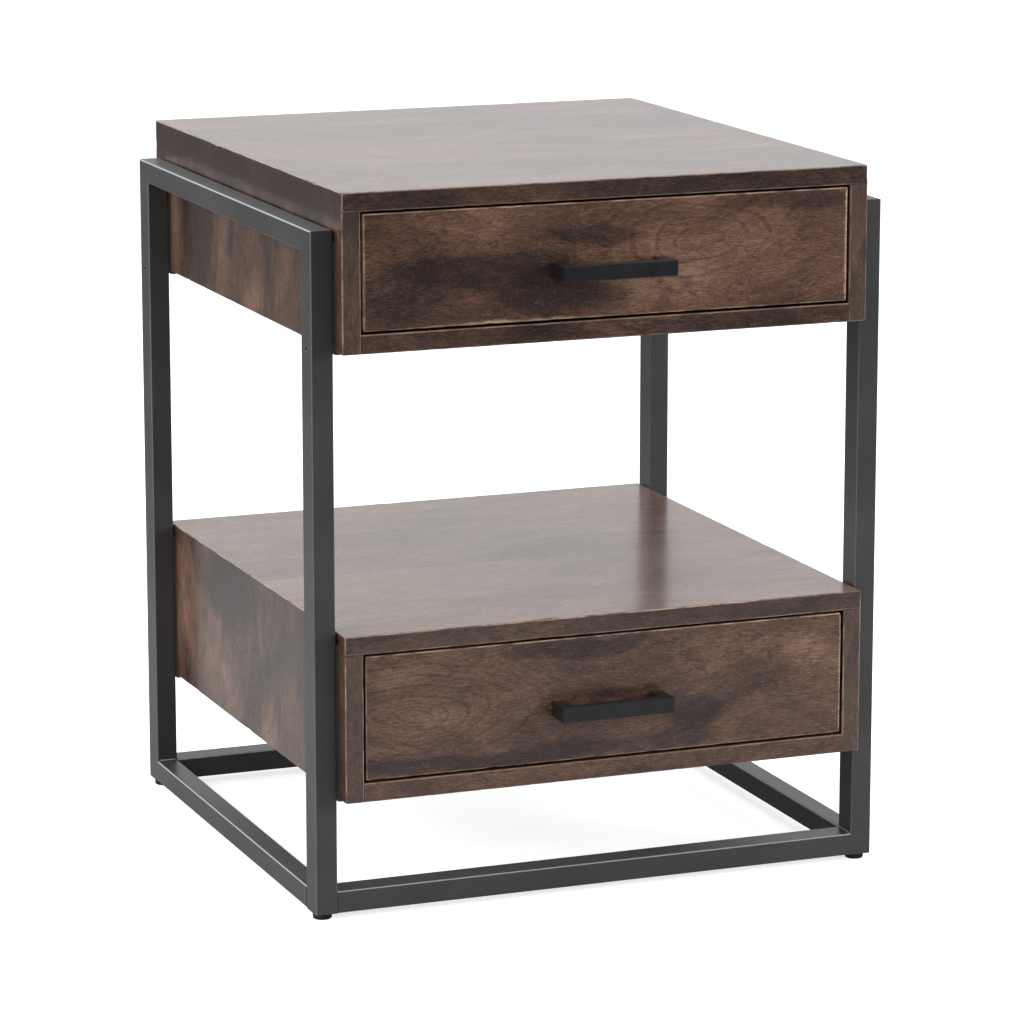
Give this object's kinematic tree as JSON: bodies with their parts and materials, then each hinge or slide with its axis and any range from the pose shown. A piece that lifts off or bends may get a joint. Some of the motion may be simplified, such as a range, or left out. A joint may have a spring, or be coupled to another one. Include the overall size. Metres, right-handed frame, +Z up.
{
  "type": "side table with two drawers",
  "caption": "Side table: stained wooden drawer cases hung one above another in an open frame of dark rectangular steel tube, with an open shelf between them.",
  "frame": {"origin": "on the floor, under the middle of the table's box, with the handles counted", "axes": "+Z up; the drawers open towards -Y; +X to the right of someone who faces the drawers"},
  "size_m": [0.508, 0.53, 0.61],
  "materials": {
    "powder_coated_steel": "dark grey satin powder coat",
    "bracket_steel": "dark grey satin powder coat",
    "stained_case_wood": "dark brown stain under a satin lacquer",
    "stained_drawer_front_wood": "dark brown stain under a satin lacquer",
    "drawer_box_wood": "clear lacquer",
    "drawer_bottom_plywood": "sanded plywood",
    "dowel_wood": "raw beech",
    "zinc_slide_steel": "zinc plated",
    "zinc_screws": "zinc plated",
    "black_handle": "black satin powder coat",
    "black_feet": "matt black nylon",
    "black_inserts": "matt black nylon"
  },
  "bodies": {
    "frame": {"left_front_leg": "powder_coated_steel", "left_rear_leg": "powder_coated_steel", "right_front_leg": "powder_coated_steel", "right_rear_leg": "powder_coated_steel", "left_top_rail": "powder_coated_steel", "right_top_rail": "powder_coated_steel", "left_bottom_rail": "powder_coated_steel", "right_bottom_rail": "powder_coated_steel", "front_base_rail": "powder_coated_steel", "rear_base_rail": "powder_coated_steel", "leg_end_inserts": "black_inserts", "upper_case_brackets": "bracket_steel", "lower_case_brackets": "bracket_steel", "bracket_screws": "zinc_screws", "upper_top_board": "stained_case_wood", "upper_bottom_board": "stained_case_wood", "upper_left_side": "stained_case_wood", "upper_right_side": "stained_case_wood", "lower_top_board": "stained_case_wood", "lower_bottom_board": "stained_case_wood", "lower_left_side": "stained_case_wood", "lower_right_side": "stained_case_wood", "upper_back_panel": "stained_case_wood", "lower_back_panel": "stained_case_wood", "case_dowels": "dowel_wood", "case_slide_screws": "zinc_screws", "upper_left_slide_outer": "zinc_slide_steel", "upper_right_slide_outer": "zinc_slide_steel", "lower_left_slide_outer": "zinc_slide_steel", "lower_right_slide_outer": "zinc_slide_steel"},
    "upper_drawer": {"upper_drawer_front": "stained_drawer_front_wood", "upper_drawer_left_side": "drawer_box_wood", "upper_drawer_right_side": "drawer_box_wood", "upper_drawer_back": "drawer_box_wood", "upper_drawer_bottom": "drawer_bottom_plywood", "upper_drawer_slide_screws": "zinc_screws", "upper_handle": "black_handle", "upper_handle_screws": "zinc_screws", "upper_left_slide_inner": "zinc_slide_steel", "upper_right_slide_inner": "zinc_slide_steel"},
    "upper_slide_middles": {"upper_left_slide_middle": "zinc_slide_steel", "upper_right_slide_middle": "zinc_slide_steel"},
    "lower_drawer": {"lower_drawer_front": "stained_drawer_front_wood", "lower_drawer_left_side": "drawer_box_wood", "lower_drawer_right_side": "drawer_box_wood", "lower_drawer_back": "drawer_box_wood", "lower_drawer_bottom": "drawer_bottom_plywood", "lower_drawer_slide_screws": "zinc_screws", "lower_handle": "black_handle", "lower_handle_screws": "zinc_screws", "lower_left_slide_inner": "zinc_slide_steel", "lower_right_slide_inner": "zinc_slide_steel"},
    "lower_slide_middles": {"lower_left_slide_middle": "zinc_slide_steel", "lower_right_slide_middle": "zinc_slide_steel"},
    "foot_front_left_body": {"foot_front_left": "black_feet"},
    "foot_front_right_body": {"foot_front_right": "black_feet"},
    "foot_rear_left_body": {"foot_rear_left": "black_feet"},
    "foot_rear_right_body": {"foot_rear_right": "black_feet"}
  },
  "joints": [
    {"name": "upper_drawer_slide", "type": "slide", "parent": "frame", "child": "upper_drawer", "axis": [0, -1, 0], "range_m": [0, 0.38]},
    {"name": "upper_slide_middles_slide", "type": "slide", "parent": "frame", "child": "upper_slide_middles", "axis": [0, -1, 0], "range_m": [0, 0.19]},
    {"name": "lower_drawer_slide", "type": "slide", "parent": "frame", "child": "lower_drawer", "axis": [0, -1, 0], "range_m": [0, 0.38]},
    {"name": "lower_slide_middles_slide", "type": "slide", "parent": "frame", "child": "lower_slide_middles", "axis": [0, -1, 0], "range_m": [0, 0.19]},
    {"name": "foot_front_left_thread", "type": "slide", "parent": "frame", "child": "foot_front_left_body", "axis": [0, 0, -1], "range_m": [0, 0.008]},
    {"name": "foot_front_right_thread", "type": "slide", "parent": "frame", "child": "foot_front_right_body", "axis": [0, 0, -1], "range_m": [0, 0.008]},
    {"name": "foot_rear_left_thread", "type": "slide", "parent": "frame", "child": "foot_rear_left_body", "axis": [0, 0, -1], "range_m": [0, 0.008]},
    {"name": "foot_rear_right_thread", "type": "slide", "parent": "frame", "child": "foot_rear_right_body", "axis": [0, 0, -1], "range_m": [0, 0.008]}
  ],
  "couplings": [
    {"joint": "upper_slide_middles_slide", "follows": "upper_drawer_slide", "ratio": 0.5},
    {"joint": "lower_slide_middles_slide", "follows": "lower_drawer_slide", "ratio": 0.5}
  ]
}
